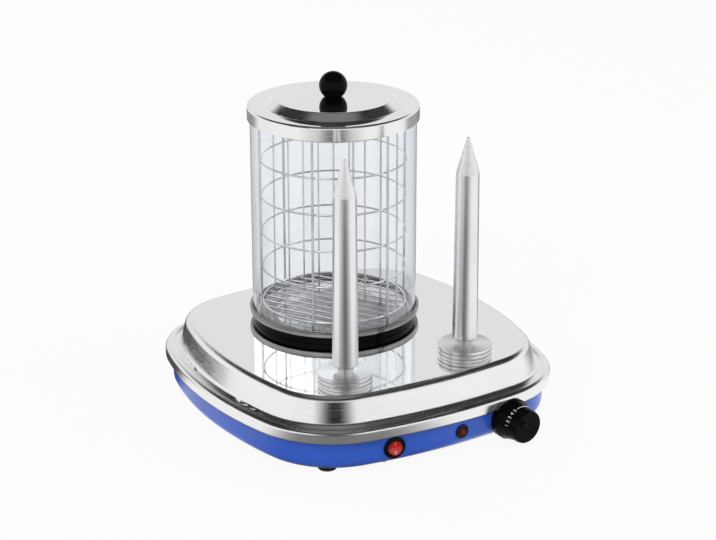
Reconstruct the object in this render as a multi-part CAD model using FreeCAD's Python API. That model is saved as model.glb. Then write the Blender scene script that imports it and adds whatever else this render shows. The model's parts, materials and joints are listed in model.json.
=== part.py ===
import FreeCAD, Part
import math
import os

os.makedirs("parts", exist_ok=True)

# Hot dog toaster: a steel-topped base with a glass steaming cylinder and two heated bread spikes.
# Millimetres, +Z up, +X to the right of a person who faces the controls, +Y towards the back.
# The origin is the bottom centre of the whole object's box, so the feet stand on Z = 0.

V = FreeCAD.Vector
UP = V(0, 0, 1)

# Base outline: four shallow sides joined by round corners, measured at the steel rim
HALF_WIDTH = 179.0
HALF_DEPTH = 181.0
SIDE_RADIUS = 410.0
FRONT_RADIUS = 594.0
CORNER_RADIUS = 96.0

# Heights, each measured from the one before it
SHELL_BOTTOM = 6.3
BAND_HEIGHT = 30.2
RIM_HEIGHT = 13.0
DECK_RISE = 26.5
RIM_EDGE = SHELL_BOTTOM + BAND_HEIGHT
RIM_CROWN = RIM_EDGE + RIM_HEIGHT
DECK_TOP = RIM_CROWN + DECK_RISE

# Deck cover: one drawn steel sheet
DECK_SHEET = 1.0
DECK_INSET = 22.5
DECK_BORDER = 12.0
GROOVE_INSET = 14.5
GROOVE_DEPTH = 2.0
CROWN_INSET = 5.0
RIM_FALL = 1.5
CREASE_RADIUS = 7.0
GROOVE_RADIUS = 5.0
CROWN_RADIUS = 6.0
RIM_RADIUS = 3.5
RIM_HEM = 4.5
HEM_RADIUS = 1.6

# Base shell: a painted tub whose wall leans in towards the bottom
SHELL_SHEET = 1.2
WALL_INSET = 6.5
WALL_TILT = math.radians(3.0)
SHELL_LIP = 18.0
SHELL_FOLD_RADIUS = 2.0
SHELL_KNEE_RADIUS = 10.0
SHELL_FLOOR = 15.0
SEAT_GAP = 0.1

# Bottom plate, feet and the posts that tie the base together
PLATE_SHEET = 1.0
PLATE_MARGIN = 7.0
SLOT_LENGTH = 40.0
SLOT_WIDTH = 4.0
SLOT_PITCH = 12.0
SLOT_COUNT = 6
SLOT_CENTRE_Y = 129.0 - HALF_DEPTH
FOOT_TOP_RADIUS = 10.0
FOOT_BOTTOM_RADIUS = 9.0
FOOT_INSET = 25.8
FOOT_ANGLE = math.radians(55.0)
FOOT_WELL_RADIUS = 4.4
FOOT_WELL_DEPTH = 3.6
POST_RADIUS = 5.0
POST_INSET = 40.0
POST_ANGLE = math.radians(48.0)

# Screws: shank and head radii, head heights, and the clearance of a hole round a shank
SCREW_RADIUS = 2.0
SCREW_HEAD_RADIUS = 3.8
SCREW_HEAD = 2.4
SCREW_GRIP = 9.0
PLATE_SCREW_RADIUS = 1.5
PLATE_SCREW_HEAD_RADIUS = 3.0
PLATE_SCREW_HEAD = 1.8
PLATE_SCREW_GRIP = 4.0
PLATE_SCREW_OFFSET = 62.0
HOLE_CLEARANCE = 0.1
HEAD_ROUNDING = 0.45

# Edge roundings used all over, and how far a blind bore runs past what it holds
FINE_EDGE = 0.5
SOFT_EDGE = 0.8
ROUND_EDGE = 1.2
BORE_SPARE = 1.0

# Steaming cylinder, on its own axis behind the middle of the base
CYLINDER_FROM_BACK = 138.0
CYLINDER_Y = HALF_DEPTH - CYLINDER_FROM_BACK
GLASS_RADIUS = 85.0
GLASS_WALL = 3.0
GLASS_HEIGHT = 220.8
GLASS_EDGE = 1.0

# Seat ring and water dish under the glass
SEAT_RING_RADIUS = GLASS_RADIUS
SEAT_RING_WIDTH = 19.0
SEAT_RING_BORE = GLASS_RADIUS - SEAT_RING_WIDTH
SEAT_RING_TOP = 6.6
OPENING_INSET = 15.0
SPIGOT_CLEARANCE = 0.3
DECK_OPENING = GLASS_RADIUS - OPENING_INSET
SPIGOT_RADIUS = DECK_OPENING - SPIGOT_CLEARANCE
SPIGOT_DEPTH = DECK_SHEET
DISH_SHEET = 0.8
DISH_SEAT_WIDTH = 5.0
DISH_SLOPE_RUN = 18.0
DISH_SLOPE_RADIUS = GLASS_RADIUS - DISH_SEAT_WIDTH
DISH_FLOOR_RADIUS = DISH_SLOPE_RADIUS - DISH_SLOPE_RUN
DISH_FLOOR = 4.0
DISH_FLOOR_BEND = 4.0
DISH_SEAT_BEND = 3.0
GLASS_SEAT = 8.0
LIP_RADIUS = GLASS_RADIUS + 3.4
LIP_BEAD = 1.6
LIP_TOP = 14.4

# Heater under the dish
PLATE_INSET = 4.0
PLATE_RADIUS = DISH_FLOOR_RADIUS - PLATE_INSET
PLATE_THICKNESS = 11.0
ELEMENT_INSET = 16.0
ELEMENT_RADIUS = PLATE_RADIUS - ELEMENT_INSET
ELEMENT_TUBE = 3.3
ELEMENT_GAP_ANGLE = 28.0
ELEMENT_LEG = 16.0
ELEMENT_CLEARANCE = 0.05
CLAMP_WIDTH = 24.0
CLAMP_SHEET = 2.0
CLAMP_EAR = 14.0
CLAMP_BEND = 3.0
STUD_RADIUS = 3.0
STUD_LENGTH = 30.0
NUT_FLATS = 10.0
NUT_HEIGHT = 5.0
CUTOUT_RADIUS = 8.0
CUTOUT_HEIGHT = 9.0
CUTOUT_NEARER_CLAMP = 0.35
CUTOUT_OFFSET = (CLAMP_WIDTH / 2 + ELEMENT_RADIUS - ELEMENT_TUBE) / 2 - CUTOUT_NEARER_CLAMP
SHIELD_RADIUS = PLATE_RADIUS + 20.0
SHIELD_SHEET = 0.8
SHIELD_DROP = 38.0
STANDOFF_RADIUS = 3.5
STANDOFF_PLACE = DECK_OPENING + 14.0
STANDOFF_COUNT = 3
SHIELD_EAR_RADIUS = 7.0

# Lid
LID_SHEET = 1.0
LID_OVERHANG = 2.8
LID_RADIUS = GLASS_RADIUS + LID_OVERHANG
LID_SKIRT = 14.2
LID_RISE = 7.0
LID_BORDER = 17.9
LID_SLOPE_RUN = 9.5
LID_SLOPE_RADIUS = LID_RADIUS - LID_BORDER
LID_CROWN_RADIUS = LID_SLOPE_RADIUS - LID_SLOPE_RUN
LID_EDGE_BEND = 2.5
LID_CROWN_BEND = 3.0
LID_KNOB_RADIUS = 14.4
LID_KNOB_FLAT = 8.4
LID_SCREW_RADIUS = 2.0
LID_SCREW_HEAD_RADIUS = 5.0
LID_SCREW_HEAD = 2.5
LID_SCREW_DEPTH = 10.0

# Wire basket
BASKET_INSET = 10.8
BASKET_RADIUS = GLASS_RADIUS - BASKET_INSET
RING_WIRE = 1.0
UPRIGHT_WIRE = 1.35
GRID_WIRE = 0.9
WELD_GAP = 0.05
RING_COUNT = 6
RING_LOW = 19.5
RING_PITCH = 38.4
UPRIGHT_COUNT = 6
UPRIGHT_START = math.radians(44.0)
UPRIGHT_OVER = 2.0
BASKET_REST_GAP = 0.3
STRETCHER_GAP = 0.5
DIVIDER_COUNT = 9
DIVIDER_ANGLE = -59.0
FLOOR_PITCH = 12.7
FLOOR_COUNT = 11

# Bread spikes
SPIKE_Y = 64.0 - HALF_DEPTH
LEFT_SPIKE_X = -0.451 * HALF_WIDTH
RIGHT_SPIKE_X = 0.324 * HALF_WIDTH
SPIKE_BASE_RADIUS = 27.2
SPIKE_DISC = 3.1
SPIKE_GROOVE = 1.25
SPIKE_GROOVE_DEPTH = 1.6
SPIKE_DISC_COUNT = 3
SPIKE_NECK_RADIUS = 8.0
SPIKE_NECK = 6.1
SPIKE_LOW_RADIUS = 12.75
SPIKE_SHOULDER_RADIUS = 11.5
SPIKE_CONE = 36.0
SPIKE_TIP = 226.3
SPIKE_TIP_RADIUS = 1.2
SPIKE_CHAMFER = 1.2
SPIKE_SHOULDER_BEND = 1.5
SPIKE_STUD_RADIUS = 6.0
SPIKE_STUD_LENGTH = 14.0
SPIKE_NUT_FLATS = 19.0
SPIKE_NUT = 6.0
SPIKE_WASHER_RADIUS = 13.0
SPIKE_WASHER = 1.5
CARTRIDGE_RADIUS = 3.25
CARTRIDGE_LENGTH = 170.0
CARTRIDGE_TAIL = 8.0

# Controls on the front wall: places along X, and heights above the shell's bottom
SWITCH_X = -0.322 * HALF_WIDTH
LAMP_X = 0.104 * HALF_WIDTH
THERMOSTAT_X = 0.42 * HALF_WIDTH
CONTROL_RISE = 15.9
THERMOSTAT_RISE = 17.3

SWITCH_BEZEL_RADIUS = 11.5
SWITCH_BEZEL = 2.0
SWITCH_BODY_RADIUS = 9.9
SWITCH_DEPTH = 15.0
SWITCH_BORE_RADIUS = 8.7
SWITCH_FLOOR = 3.0
ROCKER_RADIUS = 8.4
ROCKER_PIVOT = -1.0
ROCKER_FACE = 2.1
ROCKER_ANGLE = 9.0
ROCKER_KEEL = 1.0
PIVOT_PIN_RADIUS = 1.2
PIVOT_CLEARANCE = 0.05
PIVOT_PIN_END = 9.2
SWITCH_BLADE_PITCH = 5.0
BLADE_WIDTH = 4.8
BLADE_THICKNESS = 0.8
BLADE_LENGTH = 8.0
PANEL_CLEARANCE = 0.1

LAMP_BEZEL_RADIUS = 7.3
LAMP_BEZEL = 1.6
LAMP_BODY_RADIUS = 5.0
LAMP_DEPTH = 18.0
LAMP_LENS_RADIUS = 4.2
LAMP_LENS_DEPTH = 8.0
LAMP_LENS_DOME = 2.4
LAMP_LENS_EDGE = 1.6
LAMP_CLIP_RADIUS = 8.0
LAMP_CLIP = 1.2
LAMP_CLIP_GAP = 0.1

THERMO_WIDTH = 32.0
THERMO_HEIGHT = 22.4
THERMO_DEPTH = 16.0
THERMO_BLADE_PLACE = 8.0
THERMO_GAP = 0.3
THERMO_COLLAR_RADIUS = 9.0
THERMO_COLLAR = 1.2
BUSH_RADIUS = 4.8
BUSH_TOP = 6.6
DIAL_RADIUS = 21.1
DIAL_TOP = 7.0
DIAL_WEB_TOP = 3.6
DIAL_WELL_RADIUS = 9.0
DIAL_RIM_GAP = 0.6
THERMO_NUT_FLATS = 13.0
THERMO_NUT = 2.2
SHAFT_RADIUS = 3.0
SHAFT_FLAT = 2.2
SHAFT_CLEARANCE = 0.05
SHAFT_INSIDE = 9.0
SHAFT_TOP = 20.0
KNOB_GAP = 0.6
KNOB_FLANGE_RADIUS = 21.1
KNOB_FLANGE = 1.2
KNOB_REAR_RADIUS = 20.4
KNOB_FRONT_RADIUS = 16.3
KNOB_SHOULDER = 26.6
KNOB_CAP_REAR_RADIUS = 17.7
KNOB_CAP_RADIUS = 16.5
KNOB_TOP = 31.2
KNOB_GRIP = 3.2
KNOB_GRIP_WIDTH = 8.0
KNOB_GRIP_TOP_WIDTH = 5.6
KNOB_GRIP_INSET = 2.0
KNOB_GRIP_SLOPE = 3.0
KNOB_GRIP_SUNK = 1.0
KNOB_GRIP_ANGLE = 144.0

# Cord inlet on the back wall, and the wiring terminals inside
GLAND_X = -0.391 * HALF_WIDTH
GLAND_BORE = 4.0
GLAND_NECK_RADIUS = 5.8
GLAND_FLANGE_RADIUS = 9.0
GLAND_FLANGE = 3.4
GLAND_TAIL = 9.0
GLAND_NUT_FLATS = 15.0
GLAND_NUT = 4.0
BLOCK_SIZE = V(34.0, 18.0, 14.0)
BLOCK_PLACE = V(HALF_WIDTH - 87.0, HALF_DEPTH - 85.0, 0)
BLOCK_WAYS = 3
BLOCK_SCREW_RADIUS = 1.8
BLOCK_WELL = 6.0
BLOCK_SCREW_SUNK = 1.0
EARTH_PLACE = V(HALF_WIDTH - 119.0, HALF_DEPTH - 63.0, 0)
EARTH_HEIGHT = 12.0
EARTH_NUT_FLATS = 7.0
EARTH_NUT = 3.2

NODES = {}


# Plane geometry: paths in the XZ plane, with rounded corners
def corner_arc(before, corner, after, radius):
    """Start, middle, end and centre of the arc that rounds one corner."""
    back = (before - corner).normalize()
    ahead = (after - corner).normalize()
    half = back.getAngle(ahead) / 2
    centre = corner + (back + ahead).normalize() * (radius / math.sin(half))
    reach = radius / math.tan(half)
    middle = centre + (corner - centre).normalize() * radius
    return corner + back * reach, middle, corner + ahead * reach, centre


def rounded_loop(points, radii):
    """A closed wire in the XZ plane, with each corner rounded to its radius."""
    corners = [V(x, 0, z) for x, z in points]
    starts = []
    ends = []
    edges = []
    for i, corner in enumerate(corners):
        if radii[i] > 0:
            start, middle, end, _ = corner_arc(
                corners[i - 1], corner, corners[(i + 1) % len(corners)], radii[i]
            )
            edges.append(Part.Arc(start, middle, end).toShape())
        else:
            start = corner
            end = corner
        starts.append(start)
        ends.append(end)
    for i, end in enumerate(ends):
        following = starts[(i + 1) % len(starts)]
        if end.distanceToPoint(following) > 1e-6:
            edges.append(Part.makeLine(end, following))
    return Part.Wire(Part.__sortEdges__(edges))


def sheet_loop(points, radii, thickness):
    """The closed section of a bent sheet that lies to the right of an open path."""
    corners = [V(x, 0, z) for x, z in points]
    ways = [(b - a).normalize() for a, b in zip(corners, corners[1:])]
    sides = [V(way.z, 0, -way.x) for way in ways]
    inner = [corners[0] + sides[0] * thickness]
    inner_radii = [0.0]
    for i in range(1, len(corners) - 1):
        before = sides[i - 1]
        after = sides[i]
        shift = (before + after) * (thickness / (1 + before.dot(after)))
        inner.append(corners[i] + shift)
        turn = ways[i - 1].x * ways[i].z - ways[i - 1].z * ways[i].x
        change = thickness if turn > 0 else -thickness
        inner_radii.append(max(radii[i] + change, 0.0) if radii[i] > 0 else 0.0)
    inner.append(corners[-1] + sides[-1] * thickness)
    inner_radii.append(0.0)
    loop = list(points) + [(p.x, p.z) for p in reversed(inner)]
    return rounded_loop(loop, list(radii) + list(reversed(inner_radii)))


# Solids
def turned(points, radii=None, x=0.0, y=0.0):
    """A solid of revolution about a vertical axis, from its half section."""
    wire = rounded_loop(points, radii or [0.0] * len(points))
    return moved(Part.Face(wire).revolve(V(0, 0, 0), UP, 360), x, y)


def turned_sheet(points, radii, thickness):
    return Part.Face(sheet_loop(points, radii, thickness)).revolve(V(0, 0, 0), UP, 360)


def moved(shape, x, y, z=0.0):
    copy = shape.copy()
    copy.translate(V(x, y, z))
    return copy


def cylinder(radius, low, high, x=0.0, y=0.0):
    return Part.makeCylinder(radius, high - low, V(x, y, low), UP)


def tube(outer, inner, low, high, x=0.0, y=0.0):
    return cylinder(outer, low, high, x, y).cut(cylinder(inner, low, high, x, y))


def block(size, x, y, low):
    """A box centred on x and y, standing on the height low."""
    return Part.makeBox(size.x, size.y, size.z, V(x - size.x / 2, y - size.y / 2, low))


def hexagon(flats, low, high, x=0.0, y=0.0):
    reach = flats / math.sqrt(3)
    turns = [math.radians(60 * i) for i in range(7)]
    points = [V(x + reach * math.cos(a), y + reach * math.sin(a), low) for a in turns]
    return Part.Face(Part.makePolygon(points)).extrude(UP * (high - low))


def nut(flats, bore, low, high, x=0.0, y=0.0):
    return hexagon(flats, low, high, x, y).cut(cylinder(bore, low, high, x, y))


def screw(shank, head, low, head_height, length, x=0.0, y=0.0):
    """A screw driven upwards: its round head stands on low, its shank follows."""
    dome = turned(
        [(0, low), (head, low), (head, low + head_height), (0, low + head_height)],
        [0, head_height * HEAD_ROUNDING, 0, 0], x, y,
    )
    return dome.fuse(cylinder(shank, low + head_height, low + head_height + length, x, y))


def group(solids):
    return Part.makeCompound(solids)


def fused(shapes):
    """One solid from several that touch or overlap."""
    return shapes[0].multiFuse(shapes[1:]).removeSplitter()


def drill(shape, cutters):
    return shape.cut(Part.makeCompound(cutters))


# Base outline
def outline_arcs():
    """The outline's eight arcs, anticlockwise: centre, radius, start and end angle."""
    back_y = HALF_DEPTH - FRONT_RADIUS
    right_x = HALF_WIDTH - SIDE_RADIUS
    to_back = FRONT_RADIUS - CORNER_RADIUS
    to_right = SIDE_RADIUS - CORNER_RADIUS
    span = math.hypot(right_x, back_y)
    along = (to_back ** 2 - to_right ** 2 + span ** 2) / (2 * span)
    across = math.sqrt(to_back ** 2 - along ** 2)
    corner_x = (right_x * along - back_y * across) / span
    corner_y = back_y - (back_y * along + right_x * across) / span
    side_end = math.atan2(corner_y, corner_x - right_x)
    back_start = math.atan2(corner_y - back_y, corner_x)
    half = [
        (V(right_x, 0, 0), SIDE_RADIUS, -side_end, side_end),
        (V(corner_x, corner_y, 0), CORNER_RADIUS, side_end, back_start),
        (V(0, back_y, 0), FRONT_RADIUS, back_start, math.pi - back_start),
        (V(-corner_x, corner_y, 0), CORNER_RADIUS, math.pi - back_start, math.pi - side_end),
    ]
    return half + [(-centre, r, a + math.pi, b + math.pi) for centre, r, a, b in half]


OUTLINE = outline_arcs()
CORNER = OUTLINE[1][0]


def outline_face(inset, z):
    """The area inside the outline moved inwards by inset."""
    edges = []
    for centre, radius, start, end in OUTLINE:
        circle = Part.Circle(centre + UP * z, UP, radius - inset)
        edges.append(Part.ArcOfCircle(circle, start, end).toShape())
    return Part.Face(Part.Wire(edges))


def outline_sheet(points, radii, thickness):
    """A bent sheet carried round the outline. Its path is (distance outside the rim, height)."""
    section = Part.Face(sheet_loop(points, radii, thickness))
    pieces = []
    for centre, radius, start, end in OUTLINE:
        piece = moved(section, radius, 0)
        piece.rotate(V(0, 0, 0), UP, math.degrees(start))
        piece.translate(centre)
        pieces.append(piece.revolve(centre, UP, math.degrees(end - start)))
    return fused(pieces)


def corner_points(inset, angle):
    """Four points, one near each corner, at this inset and angle from the corner's centre."""
    reach = CORNER_RADIUS - inset
    x = CORNER.x + reach * math.cos(angle)
    y = CORNER.y + reach * math.sin(angle)
    return [(-x, -y), (x, -y), (x, y), (-x, y)]


def side_points(inset, offset):
    """Eight points along the four sides, at this inset and distance from the middle."""
    y = FRONT_RADIUS - HALF_DEPTH
    depth = math.sqrt((FRONT_RADIUS - inset) ** 2 - offset ** 2) - y
    x = SIDE_RADIUS - HALF_WIDTH
    width = math.sqrt((SIDE_RADIUS - inset) ** 2 - offset ** 2) - x
    points = [(sx * offset, sy * depth) for sx in (-1, 1) for sy in (-1, 1)]
    return points + [(sx * width, sy * offset) for sx in (-1, 1) for sy in (-1, 1)]


def wall_inset(z):
    return WALL_INSET + (RIM_EDGE - z) * math.tan(WALL_TILT)


def wall_frame(x, z, back=False):
    """A placement on the shell's wall: local X along it, local Y up it, local Z out of it."""
    radius = FRONT_RADIUS - wall_inset(z)
    turn = math.asin(x / radius)
    place = V(x, FRONT_RADIUS - HALF_DEPTH - radius * math.cos(turn), z)
    out = V(math.sin(turn) * math.cos(WALL_TILT), -math.cos(turn) * math.cos(WALL_TILT),
            -math.sin(WALL_TILT))
    along = V(math.cos(turn), math.sin(turn), 0)
    frame = FreeCAD.Placement(place, FreeCAD.Rotation(along, out.cross(along), out, "ZXY"))
    if back:
        frame = FreeCAD.Placement(V(0, 0, 0), FreeCAD.Rotation(UP, 180)).multiply(frame)
    return frame


def placed(shape, frame):
    copy = shape.copy()
    copy.Placement = frame.multiply(copy.Placement)
    return copy


SWITCH_FRAME = wall_frame(SWITCH_X, SHELL_BOTTOM + CONTROL_RISE)
LAMP_FRAME = wall_frame(LAMP_X, SHELL_BOTTOM + CONTROL_RISE)
THERMO_FRAME = wall_frame(THERMOSTAT_X, SHELL_BOTTOM + THERMOSTAT_RISE)
GLAND_FRAME = wall_frame(-GLAND_X, SHELL_BOTTOM + CONTROL_RISE, back=True)
SPIKES = {"left": LEFT_SPIKE_X, "right": RIGHT_SPIKE_X}


# Base
def deck_path():
    points = [
        (-DECK_INSET - DECK_BORDER, DECK_TOP),
        (-DECK_INSET, DECK_TOP),
        (-GROOVE_INSET, RIM_CROWN - GROOVE_DEPTH),
        (-CROWN_INSET, RIM_CROWN),
        (0, RIM_CROWN - RIM_FALL),
        (0, RIM_EDGE),
        (-RIM_HEM, RIM_EDGE),
    ]
    return points, [0, CREASE_RADIUS, GROOVE_RADIUS, CROWN_RADIUS, RIM_RADIUS, HEM_RADIUS, 0]


def groove_underside():
    """Height of the lowest line under the groove, where the deck rests on the shell."""
    points, radii = deck_path()
    before, corner, after = [V(x, 0, z) for x, z in points[1:4]]
    centre = corner_arc(before, corner, after, radii[2])[3]
    return centre.z - radii[2] - DECK_SHEET


def make_deck_cover():
    points, radii = deck_path()
    rim = outline_sheet(points, radii, DECK_SHEET)
    top = outline_face(DECK_INSET + DECK_BORDER, DECK_TOP - DECK_SHEET).extrude(UP * DECK_SHEET)
    under = DECK_TOP - DECK_SHEET
    holes = [cylinder(DECK_OPENING, under, DECK_TOP, 0, CYLINDER_Y)]
    for x in SPIKES.values():
        holes.append(cylinder(SPIKE_STUD_RADIUS + HOLE_CLEARANCE, under, DECK_TOP, x, SPIKE_Y))
    NODES["deck_cover"] = drill(fused([rim, top]), holes)


def make_base_shell():
    lip_z = groove_underside() - SEAT_GAP
    floor_inset = wall_inset(SHELL_BOTTOM)
    points = [
        (-WALL_INSET - SHELL_LIP, lip_z),
        (-WALL_INSET, lip_z),
        (-WALL_INSET, RIM_EDGE),
        (-floor_inset, SHELL_BOTTOM),
        (-floor_inset - SHELL_FLOOR, SHELL_BOTTOM),
    ]
    radii = [0, SHELL_FOLD_RADIUS, SHELL_FOLD_RADIUS, SHELL_KNEE_RADIUS, 0]
    shell = outline_sheet(points, radii, SHELL_SHEET)
    depth = 3 * SHELL_SHEET
    holes = [
        placed(cylinder(SWITCH_BODY_RADIUS + PANEL_CLEARANCE, -depth, depth), SWITCH_FRAME),
        placed(cylinder(LAMP_BODY_RADIUS + PANEL_CLEARANCE, -depth, depth), LAMP_FRAME),
        placed(cylinder(BUSH_RADIUS + PANEL_CLEARANCE, -depth, depth), THERMO_FRAME),
        placed(cylinder(GLAND_NECK_RADIUS + PANEL_CLEARANCE, -depth, depth), GLAND_FRAME),
    ]
    for x, y in plate_screw_points():
        radius = PLATE_SCREW_RADIUS + HOLE_CLEARANCE
        holes.append(cylinder(radius, SHELL_BOTTOM, SHELL_BOTTOM + SHELL_SHEET, x, y))
    NODES["base_shell"] = drill(shell, holes)


def plate_screw_points():
    inset = wall_inset(SHELL_BOTTOM) + SHELL_FLOOR - PLATE_MARGIN / 2
    return side_points(inset, PLATE_SCREW_OFFSET)


def make_bottom_plate():
    low = SHELL_BOTTOM - PLATE_SHEET
    inset = wall_inset(SHELL_BOTTOM) + PLATE_MARGIN
    plate = outline_face(inset, low).extrude(UP * PLATE_SHEET)
    holes = []
    for x, y in foot_points() + post_points():
        holes.append(cylinder(SCREW_RADIUS + HOLE_CLEARANCE, low, SHELL_BOTTOM, x, y))
    for x, y in plate_screw_points():
        holes.append(cylinder(PLATE_SCREW_RADIUS + HOLE_CLEARANCE, low, SHELL_BOTTOM, x, y))
    holes.append(cylinder(SCREW_RADIUS + HOLE_CLEARANCE, low, SHELL_BOTTOM,
                          EARTH_PLACE.x, EARTH_PLACE.y))
    for i in range(SLOT_COUNT):
        x = (i - (SLOT_COUNT - 1) / 2) * SLOT_PITCH
        straight = SLOT_LENGTH - SLOT_WIDTH
        holes.append(block(V(SLOT_WIDTH, straight, PLATE_SHEET), x, SLOT_CENTRE_Y, low))
        for end in (-1, 1):
            y = SLOT_CENTRE_Y + end * straight / 2
            holes.append(cylinder(SLOT_WIDTH / 2, low, SHELL_BOTTOM, x, y))
    NODES["bottom_plate"] = plate.cut(fused(holes))


def foot_points():
    return corner_points(FOOT_INSET, FOOT_ANGLE)


def post_points():
    return corner_points(POST_INSET, POST_ANGLE)


def make_feet():
    names = ["foot_front_left", "foot_front_right", "foot_back_right", "foot_back_left"]
    top = SHELL_BOTTOM - PLATE_SHEET
    section = [
        (SCREW_RADIUS + HOLE_CLEARANCE, FOOT_WELL_DEPTH),
        (FOOT_WELL_RADIUS, FOOT_WELL_DEPTH),
        (FOOT_WELL_RADIUS, 0),
        (FOOT_BOTTOM_RADIUS, 0),
        (FOOT_TOP_RADIUS, top),
        (SCREW_RADIUS + HOLE_CLEARANCE, top),
    ]
    foot = turned(section, [0, 0, 0, ROUND_EDGE, FINE_EDGE, 0])
    screws = []
    for name, (x, y) in zip(names, foot_points()):
        NODES[name] = moved(foot, x, y)
        low = FOOT_WELL_DEPTH - SCREW_HEAD
        screws.append(screw(SCREW_RADIUS, SCREW_HEAD_RADIUS, low, SCREW_HEAD, SCREW_GRIP, x, y))
    NODES["foot_screws"] = group(screws)


def make_posts():
    posts = []
    screws = []
    for x, y in post_points():
        post = cylinder(POST_RADIUS, SHELL_BOTTOM, DECK_TOP - DECK_SHEET, x, y)
        bore_top = SHELL_BOTTOM + SCREW_GRIP + BORE_SPARE
        bore = cylinder(SCREW_RADIUS + HOLE_CLEARANCE, SHELL_BOTTOM, bore_top, x, y)
        posts.append(post.cut(bore))
        low = SHELL_BOTTOM - PLATE_SHEET - SCREW_HEAD
        screws.append(screw(SCREW_RADIUS, SCREW_HEAD_RADIUS, low, SCREW_HEAD, SCREW_GRIP, x, y))
    NODES["tie_posts"] = group(posts)
    NODES["tie_post_screws"] = group(screws)
    screws = []
    for x, y in plate_screw_points():
        low = SHELL_BOTTOM - PLATE_SHEET - PLATE_SCREW_HEAD
        screws.append(screw(PLATE_SCREW_RADIUS, PLATE_SCREW_HEAD_RADIUS, low,
                            PLATE_SCREW_HEAD, PLATE_SCREW_GRIP, x, y))
    NODES["bottom_plate_screws"] = group(screws)


# Steaming cylinder
def slope_height(radius):
    """Height of the dish's upper surface on its slope."""
    share = (radius - DISH_FLOOR_RADIUS) / (DISH_SLOPE_RADIUS - DISH_FLOOR_RADIUS)
    return DECK_TOP + DISH_FLOOR + share * (GLASS_SEAT - DISH_FLOOR)


def on_axis(shape):
    return moved(shape, 0, CYLINDER_Y)


def make_seat_ring():
    under = DISH_SHEET + SEAT_GAP
    flat_top = DECK_TOP + GLASS_SEAT - under
    section = [
        (SEAT_RING_BORE, DECK_TOP - SPIGOT_DEPTH),
        (SPIGOT_RADIUS, DECK_TOP - SPIGOT_DEPTH),
        (SPIGOT_RADIUS, DECK_TOP),
        (SEAT_RING_RADIUS, DECK_TOP),
        (SEAT_RING_RADIUS, DECK_TOP + SEAT_RING_TOP),
        (DISH_SLOPE_RADIUS, flat_top),
        (SEAT_RING_BORE, slope_height(SEAT_RING_BORE) - under),
    ]
    NODES["seat_ring"] = on_axis(turned(section, [0, 0, 0, FINE_EDGE, SOFT_EDGE, 0, 0]))


def make_steam_dish():
    seat = DECK_TOP + GLASS_SEAT
    bead_radius = LIP_RADIUS - LIP_BEAD
    bead_z = DECK_TOP + LIP_TOP - LIP_BEAD
    wall = bead_radius + DISH_SHEET / 2
    path = [
        (0, DECK_TOP + DISH_FLOOR),
        (DISH_FLOOR_RADIUS, DECK_TOP + DISH_FLOOR),
        (DISH_SLOPE_RADIUS, seat),
        (wall, seat),
        (wall, bead_z),
    ]
    # The path runs outwards and then up, so the sheet lies under and outside it
    dish = turned_sheet(path, [0, DISH_FLOOR_BEND, DISH_SEAT_BEND, DISH_SHEET, 0], DISH_SHEET)
    bead = Part.makeTorus(bead_radius, LIP_BEAD, V(0, 0, bead_z), UP)
    stud = cylinder(STUD_RADIUS, DECK_TOP + DISH_FLOOR - DISH_SHEET - STUD_LENGTH,
                    DECK_TOP + DISH_FLOOR - DISH_SHEET)
    NODES["steam_dish"] = on_axis(fused([dish, bead]))
    NODES["dish_stud"] = on_axis(stud)


def heater_top():
    return DECK_TOP + DISH_FLOOR - DISH_SHEET


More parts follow.
